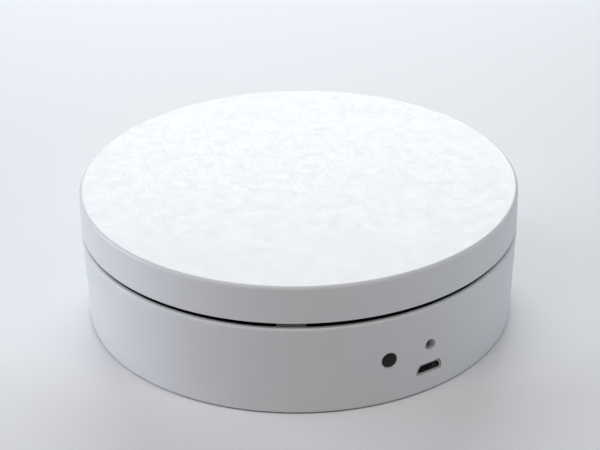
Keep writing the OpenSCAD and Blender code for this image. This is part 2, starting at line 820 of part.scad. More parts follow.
module motor_lead_cap() {
    color("#2f62b5") difference() {
        bar([can_x + can_r - 1.6, -lead_cap_w / 2, lead_cap_z[0]],
            [lead_cap_x, lead_cap_w / 2, lead_cap_z[1]]);
        translate([can_x, 0, 0]) cylinder(r = can_r + 0.02, h = 30);
    }
}

module motor_screws() {
    color("silver") for (s = [-1, 1])
        translate([can_x, s * ear_spot, motor_face - motor_lid_t]) rotate([180, 0, 0])
            screw(3.1, 1.9, 1.47, 5.6);
}

module power_button() {
    stem_end = plunger_tip + 0.05;
    rim_z = wall_in_r - 0.25 - button_rim_t - stem_end;
    tip_z = button_tip - stem_end;
    color("#1a1a1a") at_az(button_az, stem_end, button_z) rotate([90, 0, 0]) {
        cylinder(r = button_stem_r, h = 1);
        translate([0, 0, rim_z]) cylinder(r = button_rim_r, h = button_rim_t);
        intersection() {
            translate([0, 0, 1]) cylinder(r = button_d / 2, h = tip_z - 1);
            translate([0, 0, tip_z - button_dome_r]) sphere(r = button_dome_r);
        }
    }
}

module switch_body() {
    half_w = switch_w / 2;
    color("#1e1e20") at_az(button_az) difference() {
        union() {
            bar([-half_w, -switch_front, board_top + 0.05],
                [half_w, switch_depth - switch_front, button_z + half_w]);
            bar([-half_w - switch_frame, 0.3 - switch_front, board_top],
                [half_w + switch_frame, 1.1 - switch_front, button_z + half_w - 1]);
        }
        translate([0, plunger_in + button_travel + 0.15 - switch_front, button_z])
            rotate([90, 0, 0]) cylinder(r = plunger_r + 0.08, h = 4);
    }
}

module switch_plunger() {
    color("#e8e8e8") at_az(button_az, switch_front - plunger_in, button_z) rotate([90, 0, 0])
        cylinder(r = plunger_r, h = plunger_tip - switch_front + plunger_in);
}

module circuit_board() {
    color("#1d5a36") difference() {
        intersection() {
            bar([board_left, -wall_in_r, board_z], [board_right, board_back, board_top]);
            cylinder(r = board_edge_r, h = 30);
        }
        for (p = board_holes)
            translate([p[0], p[1], board_z - 1]) cylinder(r = small_clear_r + 0.05, h = 4);
        for (s = [-1, 1])
            translate([s * led_pin_x, led_pin_y, board_z - 1]) cylinder(r = lead_half * 2, h = 4);
        for (s = [-1, 1])
            at_az(button_az, switch_front - 1.2, board_z - 1)
                translate([s * switch_pin[0], 0, 0]) cylinder(r = switch_pin[1] * 2, h = 4);
    }
}

module board_screws() {
    color("silver") for (p = board_holes)
        translate([p[0], p[1], board_top]) screw(1.9, 1.2, 0.9, 5.8);
}

module usb_shell() {
    leg_in = 0.45;
    leg_out = 0.2;
    color("silver") {
        translate([0, usb_len - usb_front, usb_z]) rotate([90, 0, 0]) difference() {
            linear_extrude(usb_len) usb_outline(0);
            translate([0, 0, usb_wall]) linear_extrude(usb_len) usb_outline(-usb_wall);
        }
        for (s = [-1, 1]) for (y = [2.6, 5])
            bar([s * (usb_w - leg_in - leg_out) / 2 - (leg_in - leg_out) / 2, y - usb_front, usb_z + 0.6],
                [s * (usb_w - leg_in - leg_out) / 2 + (leg_in - leg_out) / 2, y + 0.8 - usb_front,
                 board_z]);
    }
}

module usb_tongue() {
    color("#161616") translate([0, -usb_front, usb_z]) {
        bar([-2.1, 1.1, 1.55], [2.1, usb_len - 0.3, 2.15]);
        bar([-2.6, usb_len - 1.3, 0.3], [2.6, usb_len - usb_wall - 0.03, 2.3]);
    }
}

module usb_contacts() {
    color("gold") translate([0, -usb_front, usb_z]) for (i = [-2 : 2])
        bar([i * 0.65 - 0.12, 1.3, 1.37], [i * 0.65 + 0.12, usb_len - 1.35, 1.54]);
}

module status_led() {
    r = led_d / 2;
    color("#646664") translate([0, r - led_tip, led_z]) rotate([90, 0, 0]) {
        sphere(r = r);
        translate([0, 0, -3.6]) cylinder(r = r, h = 3.6);
        translate([0, 0, -4.4]) cylinder(r = r + 0.4, h = 1);
    }
}

// Two rows of flat pins beside a chip, along X or along Y
module chip_pins(corners, count, along_y) {
    middle = (corners[0] + corners[1]) / 2;
    for (k = [0 : count - 1]) for (s = [-1, 1])
        translate([middle[0], middle[1], board_top]) rotate([0, 0, along_y ? 90 : 0])
            translate([(k - (count - 1) / 2) * pin_pitch, s * chip_pin_out, 0])
                bar([-0.2, -chip_pin_half, 0], [0.2, chip_pin_half, 0.25]);
}

module tinned_leads() {
    color("lightgray") {
        for (s = [-1, 1])
            translate([s * led_pin_x, led_pin_y, 0]) {
                bar([-lead_half, led_back - led_pin_y, led_z - lead_half],
                    [lead_half, lead_half, led_z + lead_half]);
                bar([-lead_half, -lead_half, board_z - 0.9], [lead_half, lead_half, led_z]);
            }
        for (s = [-1, 1])
            at_az(button_az, switch_front - 1.2)
                bar([s * switch_pin[0] - switch_pin[1], -lead_half, board_z - 0.9],
                    [s * switch_pin[0] + switch_pin[1], lead_half, board_top]);
        chip_pins(driver_chip, 8, true);
        chip_pins(charger_chip, 4, false);
    }
}

module chips() {
    color("#202022") for (c = [driver_chip, charger_chip])
        bar([c[0][0], c[0][1], board_top + chip_z[0]], [c[1][0], c[1][1], board_top + chip_z[1]]);
}

module chip_capacitors() {
    half = 0.6;
    color("#b79a6c") for (p = small_caps)
        translate([p[0], p[1], board_top]) bar([-half, -half, 0], [half, half, 0.8]);
}

module can_capacitor() {
    r = 2.5;
    foot = r + 0.15;
    color("silver") translate([can_cap_at[0], can_cap_at[1], board_top]) {
        cylinder(r = r, h = 5.4);
        bar([-foot, -foot, 0], [foot, foot, 0.8]);
    }
}

// A side-entry header with a hollow for its plug
module header(x, w) {
    difference() {
        bar([x - w / 2, header_front, board_top], [x + w / 2, plug_back - 1.8, plug_z + header_half]);
        bar([x - w / 2 + header_wall, header_front + 1.4, plug_z - plug_half - 0.05],
            [x + w / 2 - header_wall, plug_back, plug_z + plug_half + 0.05]);
    }
}

module plug(x, w, wires, pitch) {
    half_w = w / 2 - header_wall - 0.05;
    difference() {
        bar([x - half_w, plug_front, plug_z - plug_half], [x + half_w, plug_back, plug_z + plug_half]);
        for (i = [0 : wires - 1])
            translate([x + (i - (wires - 1) / 2) * pitch, plug_back + 1, plug_z]) rotate([90, 0, 0])
                cylinder(r = lead_r + 0.07, h = 3);
    }
}

module motor_header() { color("ivory") header(motor_plug_x, motor_plug_w); }

module motor_plug() { color("white") plug(motor_plug_x, motor_plug_w, 5, motor_pitch); }

module battery_header() { color("ivory") header(battery_plug_x, battery_plug_w); }

module battery_plug() { color("white") plug(battery_plug_x, battery_plug_w, 2, battery_pitch); }

module battery_cell() {
    end_recess = 0.3;
    color("#3c78b4") translate([-cell_len / 2, cell_y, cell_z]) rotate([0, 90, 0]) difference() {
        cylinder(r = cell_r, h = cell_len);
        translate([0, 0, -1]) cylinder(r = 6.4, h = 1 + end_recess);
        translate([0, 0, cell_len - end_recess]) cylinder(r = 7.6, h = 1 + end_recess);
    }
}

module battery_tabs() {
    half_t = 0.1;
    color("lightgray") for (s = [-1, 1])
        translate([s * (cell_len / 2 + half_t), cell_y, cell_z])
            bar([-half_t, -tab_half[0], -tab_half[1]], [half_t, tab_half[0], tab_half[1]]);
}

module battery_pad() {
    color("#55565a") difference() {
        bar([-pad_half[0], cell_y - pad_half[1], cell_z + 8],
            [pad_half[0], cell_y + pad_half[1], deck_z - 0.02]);
        translate([-cell_len / 2, cell_y, cell_z]) rotate([0, 90, 0])
            cylinder(r = cell_r + 0.02, h = cell_len);
    }
}

module battery_wire_red() { color("#a81c18") wire(red_route, lead_r); }

module battery_wire_black() { color("#161616") wire(black_route, lead_r); }

// One of the five motor wires, side by side from the motor and fanned out at the plug
module motor_wire(i) {
    wire([for (k = [0 : len(bundle_route) - 1])
        bundle_route[k] + (i - 2) * [bundle_side[k][0], bundle_side[k][1], 0]], wire_r);
}

module motor_wire_blue() { color("#2458b0") motor_wire(0); }

module motor_wire_pink() { color("#e08aa8") motor_wire(1); }

module motor_wire_yellow() { color("#e8c81e") motor_wire(2); }

module motor_wire_orange() { color("#e07818") motor_wire(3); }

module motor_wire_red() { color("#b01e1a") motor_wire(4); }

platter();
drive_hub();
hub_screws();
base_shell();
deck();
deck_screws();
bottom_cover();
cover_screws();
rubber_feet();
roller_brackets();
bracket_screws();
roller_axles();
support_roller(0);  // roller_front
support_roller(1);  // roller_right
support_roller(2);  // roller_left
motor_can();
motor_cover();
shaft_bushing();
stator_plates();
coil_bobbins();
coil_windings();
rotor_magnet();
rotor_pinion();
gear_plate();
first_gear();
second_gear();
third_gear();
output_gear();
output_shaft();
motor_lead_cap();
motor_screws();
power_button();
switch_body();
switch_plunger();
circuit_board();
board_screws();
usb_shell();
usb_tongue();
usb_contacts();
status_led();
tinned_leads();
chips();
chip_capacitors();
can_capacitor();
motor_header();
motor_plug();
battery_header();
battery_plug();
battery_cell();
battery_tabs();
battery_pad();
battery_wire_red();
battery_wire_black();
motor_wire_blue();
motor_wire_pink();
motor_wire_yellow();
motor_wire_orange();
motor_wire_red();
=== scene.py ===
import json
import math

import bmesh
import bpy
from mathutils import Matrix, Vector


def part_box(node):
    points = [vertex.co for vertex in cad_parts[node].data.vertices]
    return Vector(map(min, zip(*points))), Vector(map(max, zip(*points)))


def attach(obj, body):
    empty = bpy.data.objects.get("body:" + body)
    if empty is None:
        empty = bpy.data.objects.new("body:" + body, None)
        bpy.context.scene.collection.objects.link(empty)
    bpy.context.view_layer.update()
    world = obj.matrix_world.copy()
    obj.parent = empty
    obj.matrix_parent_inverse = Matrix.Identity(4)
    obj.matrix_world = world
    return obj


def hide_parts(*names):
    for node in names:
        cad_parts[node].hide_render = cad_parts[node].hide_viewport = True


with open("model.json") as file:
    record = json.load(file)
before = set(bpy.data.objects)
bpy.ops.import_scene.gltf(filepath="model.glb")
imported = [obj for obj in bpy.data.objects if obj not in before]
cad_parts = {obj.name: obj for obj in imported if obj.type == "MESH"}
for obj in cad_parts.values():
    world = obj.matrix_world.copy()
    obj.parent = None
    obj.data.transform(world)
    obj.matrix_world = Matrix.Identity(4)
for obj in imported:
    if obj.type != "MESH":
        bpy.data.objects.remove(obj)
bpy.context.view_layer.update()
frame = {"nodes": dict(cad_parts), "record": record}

# Lengths are in millimetres here and become metres in the meshes. Azimuths go from -Y, the socket's
# side, towards +X.
MM = 0.001
MERGE_MM = 1e-4
MERGE = 1e-7  # the same in metres
ROUND_STEPS = 5
STEPS_PER_MM = 12
FINE_TURN = 360
SMALL_TURN = 64


def reach(node):
    """Largest distance of a CAD node from the platter's axis along X, in millimetres."""
    low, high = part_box(node)
    return max(-low.x, high.x) / MM


def level(node):
    """Lowest and highest level of a CAD node, in millimetres."""
    low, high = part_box(node)
    return low.z / MM, high.z / MM


PLATTER_R = reach("platter")
SKIRT_Z, TOTAL_H = level("platter")
BASE_Z, LIP_Z = level("base_shell")
DECK_FLOOR, DECK_T = 22.7, 2
COVER_TOP = 2.8
NOISE_LOW, NOISE_HIGH = 0.3, 0.7  # most of a noise texture's values lie between these
# How far ribs run into what they join, how far ribs and bosses run into the plate, and how far a
# cutter stands out past the face that it cuts.
BITE, ROOT, OVER = 0.5, 0.3, 1

# The platter: its plate, skirt, track ring, ribs, gussets, hub bosses and their pilot holes.
PLATE_Z = TOTAL_H - 2.4
SKIRT_IN = PLATTER_R - 2.2
TRACK_Z, TRACK_IN, TRACK_OUT = 30.4, 51.7, 54.7
RIB_Z, RIB_IN, RIB_OUT = PLATE_Z - 2.6, 11.8, 13.2
RIB_COUNT, RIB_W = 8, 1.4
GUSSET_COUNT, GUSSET_W, GUSSET_Z = 24, 1.2, PLATE_Z - 3.2
HUB_ANGLES, HUB_SPOT = (30, 150, 270), 8.4
BOSS_Z, BOSS_R = PLATE_Z - 3, 2.8
HUB_PILOT_R, HUB_PILOT_DEPTH = 0.97, 1.4

# The base: its wall, lip and deck ledge, the screw posts with their webs, and the rollers' places.
WALL_IN = PLATTER_R - 3.1
WALL_OUT = PLATTER_R - 1.1
LIP_R = 0.9
RABBET_R = PLATTER_R - 1.3
POST_AZIMUTHS = (-120, -60, 60, 120)
POST_INSET, POST_R = 6.9, 3.2
POST_SPOT = WALL_IN - POST_INSET
POST_PILOT_R, POST_PILOT_DEPTH = 1.12, 7
WEB_W, WEB_NEAR, WEB_BITE, WEB_TOP = 1.6, 2, 0.6, 17
ROLLER_AZIMUTHS = (-36.6, 83.4, 203.4)

# The socket, the status light and the button, the play round each, and the easing of their holes.
USB_Z, USB_W, USB_H, USB_PLAY = 6.15, 7.5, 2.6, 0.28
LED_Z, LED_R, LED_PLAY = 14.4, 1.5, 0.1
BUTTON_AZ, BUTTON_Z, BUTTON_R, BUTTON_PLAY = -11.9, 13.4, 1.95, 0.15
HOLE_EDGE, USB_EDGE = 0.18, 0.12


# ---------------------------------------------------------------- outlines and meshes

def rounded(corners, arc_steps=None):
    """A closed outline from (x, y, radius) corners: each corner becomes an arc of that radius."""
    points = []
    count = len(corners)
    for i, (x, y, radius) in enumerate(corners):
        here = Vector((x, y))
        if radius <= 0:
            points.append(here)
            continue
        before = Vector(corners[i - 1][:2]) - here
        after = Vector(corners[(i + 1) % count][:2]) - here
        half = before.angle(after) / 2
        before, after = before.normalized(), after.normalized()
        middle = here + (before + after).normalized() * radius / math.sin(half)
        start = here + before * radius / math.tan(half) - middle
        end = here + after * radius / math.tan(half) - middle
        sweep = start.angle_signed(end)
        steps = arc_steps or max(ROUND_STEPS, round(STEPS_PER_MM * radius))
        for k in range(steps + 1):
            points.append(middle + Matrix.Rotation(-sweep * k / steps, 2) @ start)
    return points


def quarter(steps):
    """Angles from 0 to a quarter turn, both ends included."""
    return [math.pi / 2 * k / steps for k in range(steps + 1)]


def linked(name, data):
    """A new object in the scene, at the origin."""
    piece = bpy.data.objects.new(name, data)
    bpy.context.scene.collection.objects.link(piece)
    return piece


def mesh_object(name, build):
    """A new object in the scene whose mesh build(bm) makes, in millimetres."""
    bm = bmesh.new()
    build(bm)
    bmesh.ops.remove_doubles(bm, verts=bm.verts, dist=MERGE_MM)
    bmesh.ops.recalc_face_normals(bm, faces=bm.faces)
    bmesh.ops.scale(bm, vec=(MM, MM, MM), verts=bm.verts)
    mesh = bpy.data.meshes.new(name)
    bm.to_mesh(mesh)
    bm.free()
    return linked(name, mesh)


def skin(bm, loops, closed=False, capped=True):
    """Faces between loops of points of equal count. closed joins the last loop to the first."""
    rings = [[bm.verts.new(p) for p in loop] for loop in loops]
    count = len(rings[0])
    pairs = list(zip(rings, rings[1:]))
    if closed:
        pairs.append((rings[-1], rings[0]))
    for a, b in pairs:
        for i in range(count):
            bm.faces.new((a[i], a[(i + 1) % count], b[(i + 1) % count], b[i]))
    if capped and not closed:
        bm.faces.new(rings[0])
        bm.faces.new(rings[-1][::-1])


def spun(outline, steps):
    """Loops of a closed outline of (radius, height) points turned about Z."""
    loops = []
    for k in range(steps):
        angle = 2 * math.pi * k / steps
        loops.append([(p[0] * math.cos(angle), p[0] * math.sin(angle), p[1]) for p in outline])
    return loops


def lathe(name, outline, steps=SMALL_TURN):
    """A ring turned from a closed outline of (radius, height) points."""
    return mesh_object(name, lambda bm: skin(bm, spun(outline, steps), closed=True))


def turned(name, profile, steps=SMALL_TURN):
    """A solid turned from an open profile of (radius, height) points, with a flat disc at each end."""
    angles = [2 * math.pi * k / steps for k in range(steps)]
    loops = [[(r * math.cos(a), r * math.sin(a), z) for a in angles] for r, z in profile]
    return mesh_object(name, lambda bm: skin(bm, loops))


def prism(name, outline, low, high):
    """An outline of (x, y) points raised from low to high."""
    loops = [[(p[0], p[1], z) for p in outline] for z in (low, high)]
    return mesh_object(name, lambda bm: skin(bm, loops))


def circle(radius, steps=SMALL_TURN):
    turn = 2 * math.pi / steps
    return [Vector((radius * math.cos(turn * k), radius * math.sin(turn * k))) for k in range(steps)]


def block(low, high, edge):
    """An upright bar between two corners, its upright edges rounded."""
    outline = rounded([(low[0], low[1], edge), (high[0], low[1], edge), (high[0], high[1], edge),
                       (low[0], high[1], edge)])
    return prism("block", outline, low[2], high[2])


def moved(piece, matrix):
    """The piece's mesh moved by a matrix whose lengths are in millimetres."""
    place = matrix.copy()
    place.translation = place.translation * MM
    piece.data.transform(place)
    return piece


def at_azimuth(azimuth, radius=0.0, z=0.0):
    """A frame at an azimuth: its +Y points in towards the axis."""
    turn = Matrix.Rotation(math.radians(azimuth), 4, "Z")
    return turn @ Matrix.Translation((0, -radius, z))


def around(angle, radius=0.0):
    """A frame at an angle from +X: its +X points out from the axis."""
    return Matrix.Rotation(math.radians(angle), 4, "Z") @ Matrix.Translation((radius, 0, 0))


def outward(azimuth, radius, z):
    """A frame whose +Z points out from the platter's axis."""
    return at_azimuth(azimuth, radius, z) @ Matrix.Rotation(math.radians(90), 4, "X")


def copied(piece, matrix):
    """A copy of a piece, moved."""
    twin = piece.copy()
    twin.data = piece.data.copy()
    bpy.context.scene.collection.objects.link(twin)
    return moved(twin, matrix)


def joined(pieces, name):
    """One object from several, without merging their solids."""
    first = pieces[0]
    bm = bmesh.new()
    for piece in pieces:
        bm.from_mesh(piece.data)
    bm.to_mesh(first.data)
    bm.free()
    for piece in pieces[1:]:
        bpy.data.objects.remove(piece)
    first.name = name
    first.data.name = name
    return first


def combine(piece, others, operation):
    """The piece with the other solids added ("UNION") or taken away ("DIFFERENCE")."""
    for other in others:
        modifier = piece.modifiers.new("solid", "BOOLEAN")
        modifier.operation = operation
        modifier.solver = "MANIFOLD"
        modifier.object = other
    applied(piece)
    for other in others:
        bpy.data.objects.remove(other)
    return piece


def applied(piece):
    """The piece with its modifiers worked into its mesh."""
    bpy.context.view_layer.update()
    graph = bpy.context.evaluated_depsgraph_get()
    result = bpy.data.meshes.new_from_object(piece.evaluated_get(graph))
    piece.modifiers.clear()
    piece.data = result
    return piece


def edited(piece, work):
    """The piece after work(bm) on its mesh."""
    bm = bmesh.new()
    bm.from_mesh(piece.data)
    work(bm)
    bm.to_mesh(piece.data)
    bm.free()
    return piece


def smooth(piece):
    """Smooth shading that keeps sharp edges and holds large faces flat up to small roundings.

    Faces of no area, which the booleans leave, are taken out first.
    """
    edited(piece, lambda bm: bmesh.ops.dissolve_degenerate(bm, dist=MERGE, edges=bm.edges))
    for face in piece.data.polygons:
        face.use_smooth = True
    piece.data.set_sharp_from_angle(angle=math.radians(35))
    modifier = piece.modifiers.new("normals", "WEIGHTED_NORMAL")
    modifier.mode = "FACE_AREA"
    modifier.weight = 100
    modifier.keep_sharp = True
    return applied(piece)


def finished(piece, body, slot, *nodes):
    """Smooths a piece, dresses it, lets it ride on a body and puts it in the place of CAD nodes."""
    smooth(piece)
    piece.data.materials.clear()
    piece.data.materials.append(SLOT_MATERIALS[slot])
    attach(piece, body)
    if nodes:
        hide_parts(*nodes)
    return piece


# ---------------------------------------------------------------- materials

def shade(colour, factor):
    """A colour made lighter or darker."""
    return tuple(min(1.0, c * factor) for c in colour[:3]) + (1.0,)


class Finish:
    """A node-built material: mottled colour, uneven roughness and a fine relief, in true lengths."""

    def __init__(self, name, rough, metal=0.0):
        self.material = bpy.data.materials.new(name)
        self.material.use_nodes = True
        self.nodes = self.material.node_tree.nodes
        self.links = self.material.node_tree.links
        self.shader = self.nodes["Principled BSDF"]
        self.shader.inputs["Metallic"].default_value = metal
        self.shader.inputs["Roughness"].default_value = rough
        self.place = self.nodes.new("ShaderNodeTexCoord").outputs["Object"]
        self.relief = None

    def stretched(self, x, y, z):
        """Coordinates scaled along each axis, for brushed or layered surfaces."""
        mapping = self.nodes.new("ShaderNodeMapping")
        mapping.inputs["Scale"].default_value = (x, y, z)
        self.links.new(self.place, mapping.inputs["Vector"])
        return mapping.outputs["Vector"]

    def noise(self, size_mm, detail=2.0, where=None):
        """Noise whose features are about size_mm across."""
        node = self.nodes.new("ShaderNodeTexNoise")
        node.inputs["Scale"].default_value = 1 / (size_mm * MM)
        node.inputs["Detail"].default_value = detail
        self.links.new(where or self.place, node.inputs["Vector"])
        return node.outputs["Fac"]

    def ramp(self, value, low, high, start=NOISE_LOW, end=NOISE_HIGH):
        """Colour from low to high as value goes from start to end."""
        node = self.nodes.new("ShaderNodeValToRGB")
        first, last = node.color_ramp.elements
        first.position, first.color = start, low
        last.position, last.color = end, high
        self.links.new(value, node.inputs["Fac"])
        return node.outputs["Color"]

    def span(self, value, low, high):
        """A noise value mapped to low..high."""
        node = self.nodes.new("ShaderNodeMapRange")
        node.inputs["From Min"].default_value = NOISE_LOW
        node.inputs["From Max"].default_value = NOISE_HIGH
        node.inputs["To Min"].default_value = low
        node.inputs["To Max"].default_value = high
        self.links.new(value, node.inputs["Value"])
        return node.outputs["Result"]

    def colour(self, value, base, spread, start=NOISE_LOW, end=NOISE_HIGH):
        """Colour that varies about base by spread, up and down."""
        mixed = self.ramp(value, shade(base, 1 - spread), shade(base, 1 + spread), start, end)
        self.links.new(mixed, self.shader.inputs["Base Color"])
        return self

    def roughness(self, value, low, high):
        self.links.new(self.span(value, low, high), self.shader.inputs["Roughness"])
        return self

    def bump(self, value, depth_mm, strength=1.0):
        """Adds a relief of depth_mm to those already there."""
        node = self.nodes.new("ShaderNodeBump")
        node.inputs["Strength"].default_value = strength
        node.inputs["Distance"].default_value = depth_mm * MM
        self.links.new(value, node.inputs["Height"])
        if self.relief:
            self.links.new(self.relief, node.inputs["Normal"])
        self.relief = node.outputs["Normal"]
        self.links.new(self.relief, self.shader.inputs["Normal"])
        return self

    def set(self, **values):
        """Numbers on the shader's own sockets, with _ for the spaces in their names."""
        for name, value in values.items():
            self.shader.inputs[name.replace("_", " ")].default_value = value
        return self


def moulded(name, base, rough, grain_mm=0.25, relief_mm=0.006, spread=0.02):
    """Moulded plastic: faint flow marks, and the fine grain that the mould leaves."""
    flow_mm, gloss_mm, sink_mm, gloss_change = 14, 3, 9, 0.05
    finish = Finish(name, rough)
    finish.colour(finish.noise(flow_mm, 3), base, spread)
    grain = finish.noise(grain_mm, 2)
    finish.roughness(finish.noise(gloss_mm, 4), rough - gloss_change, rough + gloss_change)
    finish.bump(finish.noise(sink_mm, 2), relief_mm * 1.5, 0.4)
    finish.bump(grain, relief_mm)
    return finish


def metal(name, base, rough, along=(1, 1, 1), grain_mm=0.3, relief_mm=0.003, spread=0.06):
    """Plated or bare metal, its grain drawn out along the axes with small numbers."""
    finish = Finish(name, rough, metal=1.0)
    lines = finish.noise(grain_mm, 3, finish.stretched(*along))
    finish.colour(finish.noise(5, 4), base, spread)
    finish.roughness(lines, rough - 0.08, rough + 0.1)
    finish.bump(lines, relief_mm)
    return finish


def wound(name, base):
    """Enamelled copper wire wound in turns, one above the other."""
    finish = Finish(name, 0.32, metal=0.85)
    turns = finish.nodes.new("ShaderNodeTexWave")
    turns.wave_type = "BANDS"
    turns.bands_direction = "Z"
    turns.inputs["Scale"].default_value = 1 / (0.16 * MM) / 20
    turns.inputs["Distortion"].default_value = 0.6
    finish.links.new(finish.place, turns.inputs["Vector"])
    finish.colour(finish.noise(1.5, 4), base, 0.18)
    finish.bump(turns.outputs["Fac"], 0.06)
    return finish


def rubbery(name, base, rough=0.8):
    """Rubber: matt, with a fine pebbled skin and dusty patches."""
    finish = Finish(name, rough)
    finish.colour(finish.noise(2.5, 5), base, 0.16)
    finish.roughness(finish.noise(1.2, 3), rough - 0.1, min(1.0, rough + 0.1))
    finish.bump(finish.noise(0.18, 2), 0.012)
    return finish


def insulation(name, base):
    """A wire's soft sleeve, smoother than bare rubber."""
    return rubbery(name, base, 0.45)


def foam(name, base):
    """Open-cell foam. Its colour is darkest in the middle of each cell, where the relief sinks: painted
    shade in the pits.
    """
    finish = Finish(name, 0.95)
    cells = finish.nodes.new("ShaderNodeTexVoronoi")
    cells.inputs["Scale"].default_value = 1 / (0.5 * MM)
    finish.links.new(finish.place, cells.inputs["Vector"])
    # Painted shade: the colour darkens towards each cell's middle, which is the bottom of its pit in the
    # relief below.
    finish.colour(cells.outputs["Distance"], base, 0.45, 0.0, 0.6)
    finish.bump(cells.outputs["Distance"], 0.2)
    return finish


def circuit(name, base):
    """Solder mask over etched copper: straight tracks show as a faint relief under a glossy coat."""
    finish = Finish(name, 0.3)
    tracks = finish.nodes.new("ShaderNodeTexBrick")
    tracks.inputs["Scale"].default_value = 1 / (4 * MM)
    tracks.inputs["Mortar Size"].default_value = 0.035
    tracks.inputs["Color1"].default_value = shade(base, 1.0)
    tracks.inputs["Color2"].default_value = shade(base, 1.15)
    tracks.inputs["Mortar"].default_value = shade(base, 1.9)
    finish.links.new(finish.place, tracks.inputs["Vector"])
    finish.links.new(tracks.outputs["Color"], finish.shader.inputs["Base Color"])
    finish.roughness(finish.noise(2, 3), 0.25, 0.4)
    finish.bump(tracks.outputs["Fac"], 0.03)
    finish.set(Coat_Weight=0.5, Coat_Roughness=0.15)
    return finish


def lens(name, base):
    """Diffused epoxy: milky, lit through."""
    finish = Finish(name, 0.22)
    finish.colour(finish.noise(0.6, 2), base, 0.03)
    finish.roughness(finish.noise(0.4, 2), 0.18, 0.3)
    finish.bump(finish.noise(0.5, 1), 0.004)
    finish.set(Transmission_Weight=0.45, IOR=1.52, Coat_Weight=0.4, Coat_Roughness=0.08)
    return finish


def wrapped(name, base):
    """Shrink film over a can: glossy, with faint ripples round the ends."""
    finish = Finish(name, 0.22)
    finish.colour(finish.noise(8, 3), base, 0.08)
    ripples = finish.noise(1.2, 2, finish.stretched(3, 0.4, 0.4))
    finish.roughness(ripples, 0.18, 0.3)
    finish.bump(ripples, 0.02)
    finish.set(Coat_Weight=0.6, Coat_Roughness=0.1)
    return finish


def white_plastic(name, base):
    """The case's white, paler than the record's colour and with a faint gloss."""
    finish = moulded(name, (0.86, 0.865, 0.865), 0.42, 0.22, 0.002, 0.008)
    return finish.set(Coat_Weight=0.12, Coat_Roughness=0.25)


def black_plastic(name, base):
    """The button's and the deck's black, deeper than the record's colour."""
    finish = moulded(name, shade(base, 0.5), 0.5, 0.2, 0.01, 0.12)
    return finish.set(Specular_IOR_Level=0.25)


# The look of each slot. After the colour, moulded takes roughness, grain and relief in millimetres
# and the colour's spread, and metal takes roughness, stretch, grain and relief.
LOOKS = {
    "white_abs": white_plastic,
    "black_abs": black_plastic,
    "black_nylon": lambda n, c: moulded(n, c, 0.45, 0.3, 0.01, 0.12),
    "grey_nylon": lambda n, c: moulded(n, c, 0.45, 0.3, 0.008, 0.04),
    "ivory_nylon": lambda n, c: moulded(n, c, 0.45, 0.3, 0.008, 0.04),
    "white_nylon": lambda n, c: moulded(n, c, 0.4, 0.3, 0.008, 0.03),
    "feet_rubber": rubbery,
    "screw_steel": lambda n, c: metal(n, c, 0.34, (1, 1, 1), 0.2),
    "plated_steel": lambda n, c: metal(n, c, 0.3, (1, 1, 0.15), 0.25),
    "stator_steel": lambda n, c: metal(n, c, 0.42, (1, 1, 1), 0.4),
    "brass": lambda n, c: metal(n, c, 0.3, (1, 1, 0.2), 0.2),
    "copper_wire": wound,
    "ferrite": lambda n, c: rubbery(n, c, 0.6),
    "blue_plastic": lambda n, c: moulded(n, c, 0.4, 0.3, 0.008, 0.06),
    "board_green": circuit,
    "chip_black": lambda n, c: moulded(n, c, 0.55, 0.12, 0.01, 0.1),
    "capacitor_tan": lambda n, c: moulded(n, c, 0.45, 0.2, 0.006, 0.08),
    "capacitor_alu": lambda n, c: metal(n, c, 0.28, (1, 1, 0.1), 0.2),
    "solder_tin": lambda n, c: metal(n, c, 0.24, (1, 1, 1), 0.3, 0.006),
    "contact_gold": lambda n, c: metal(n, c, 0.2, (1, 0.2, 1), 0.1),
    "led_lens": lens,
    "cell_wrap": wrapped,
    "nickel": lambda n, c: metal(n, c, 0.25, (1, 0.15, 1), 0.2),
    "foam_grey": foam,
}


def dress_cad_nodes():
    """Makes a material for each of the record's slots and puts it on the CAD nodes that use it."""
    colours = {m["slot"]: tuple(m["base_color"]) for m in frame["record"]["materials"]}
    for slot, colour in colours.items():
        make = LOOKS.get(slot, insulation)
        SLOT_MATERIALS[slot] = make(slot, colour).material
    for row in frame["record"]["subparts"]:
        node = frame["nodes"][row["node"]]
        for place in node.material_slots:
            place.material = SLOT_MATERIALS[row["material_slot"]]


SLOT_MATERIALS = {}
SLOT_OF = {row["node"]: row["material_slot"] for row in frame["record"]["subparts"]}
BODIES = frame["record"]["behaviour"]["bodies"]
BODY_OF = {node: body for body, nodes in BODIES.items() for node in nodes}
dress_cad_nodes()


# ---------------------------------------------------------------- the platter

